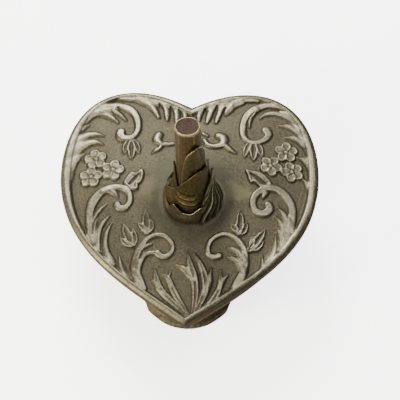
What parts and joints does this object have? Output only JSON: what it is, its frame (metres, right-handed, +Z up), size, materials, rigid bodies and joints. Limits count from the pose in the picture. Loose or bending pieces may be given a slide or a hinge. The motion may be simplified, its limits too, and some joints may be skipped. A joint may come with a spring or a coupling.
{
  "type": "heart-shaped trinket box",
  "caption": "Heart-shaped metal trinket box on bracket feet, with an overhanging lift-off lid of scroll and flower relief and a tapering leaf-wrapped ring post.",
  "frame": {"origin": "on the table, under the middle of the lid's outline (bounding box bottom centre)", "axes": "+Z up; -Y towards the heart's point, +Y towards the cleft between its lobes; +X to the right seen from the point"},
  "size_m": [0.091, 0.0904, 0.0824],
  "materials": {
    "silver_plate": "aged silver plate over cast white metal, dark in its hollows",
    "post_bronze": "brown bronze patina, rubbed bright on its edges",
    "screw_steel": "plain steel",
    "velvet": "short-pile wine red velvet"
  },
  "bodies": {
    "box": {"body_wall": "silver_plate", "base_plate": "silver_plate", "front_foot": "silver_plate", "rear_left_foot": "silver_plate", "rear_right_foot": "silver_plate", "floor_pad": "velvet", "wall_lining": "velvet"},
    "lid": {"lid_shell": "silver_plate", "lid_flange": "silver_plate", "lid_lining": "velvet", "post_cup": "silver_plate", "ring_post": "post_bronze", "upper_right_leaf": "post_bronze", "upper_left_leaf": "post_bronze", "upper_back_leaf": "post_bronze", "front_wrap_leaf": "post_bronze", "back_wrap_leaf": "post_bronze", "right_fringe_leaf": "post_bronze", "back_fringe_leaf": "post_bronze", "post_washer": "screw_steel", "post_screw": "screw_steel"}
  },
  "joints": [
    {"name": "lid_lift", "type": "slide", "parent": "box", "child": "lid", "axis": [0, 0, 1], "range_m": [0, 0.06]}
  ]
}
